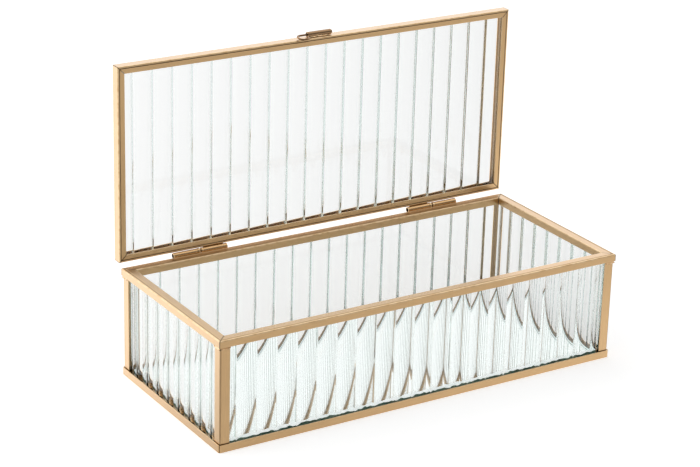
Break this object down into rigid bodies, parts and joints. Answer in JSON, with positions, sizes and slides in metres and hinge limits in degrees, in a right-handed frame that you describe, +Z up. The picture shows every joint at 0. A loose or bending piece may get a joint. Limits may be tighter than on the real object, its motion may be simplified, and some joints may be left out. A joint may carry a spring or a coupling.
{
  "type": "hinged glass casket box",
  "caption": "Shallow box of fluted glass in a folded metal frame, with a mirror base and a hinged glass lid standing open, for keeping papers and small things.",
  "frame": {"origin": "on the table, under the middle of the whole object's box with its lid open upright", "axes": "+X to the right along the long side, +Y from the front to the hinges, +Z up"},
  "size_m": [0.2, 0.0944, 0.142],
  "materials": {
    "brass": "satin, lightly brushed along each rail",
    "solder": "satin, uneven",
    "fluted_glass": "clear, fluted on one face",
    "mirror": "clear, silvered on the underside"
  },
  "bodies": {
    "box": {"foot_front": "brass", "foot_back": "brass", "foot_left": "brass", "foot_right": "brass", "base_mirror": "mirror", "front_glass": "fluted_glass", "back_glass": "fluted_glass", "left_glass": "fluted_glass", "right_glass": "fluted_glass", "post_front_left": "brass", "post_front_right": "brass", "post_back_left": "brass", "post_back_right": "brass", "rim_front": "brass", "rim_back": "brass", "rim_left": "brass", "rim_right": "brass", "post_solder": "solder", "hinge_left_fixed_knuckle": "brass", "hinge_right_fixed_knuckle": "brass", "hinge_left_pin": "brass", "hinge_right_pin": "brass"},
    "lid": {"lid_rail_hinge": "brass", "lid_rail_free": "brass", "lid_rail_left": "brass", "lid_rail_right": "brass", "lid_glass": "fluted_glass", "hinge_left_lid_knuckle": "brass", "hinge_right_lid_knuckle": "brass", "clasp_tube": "brass"},
    "clasp": {"clasp_loop": "brass"}
  },
  "joints": [
    {"name": "lid_hinge", "type": "hinge", "parent": "box", "child": "lid", "pos_m": [0, 0.0421, 0.05025], "axis": [1, 0, 0], "range_deg": [0, 90]},
    {"name": "clasp_swivel", "type": "hinge", "parent": "lid", "child": "clasp", "pos_m": [-0.0008, 0.04495, 0.1408], "axis": [-1, 0, 0], "range_deg": [0, 196]}
  ]
}
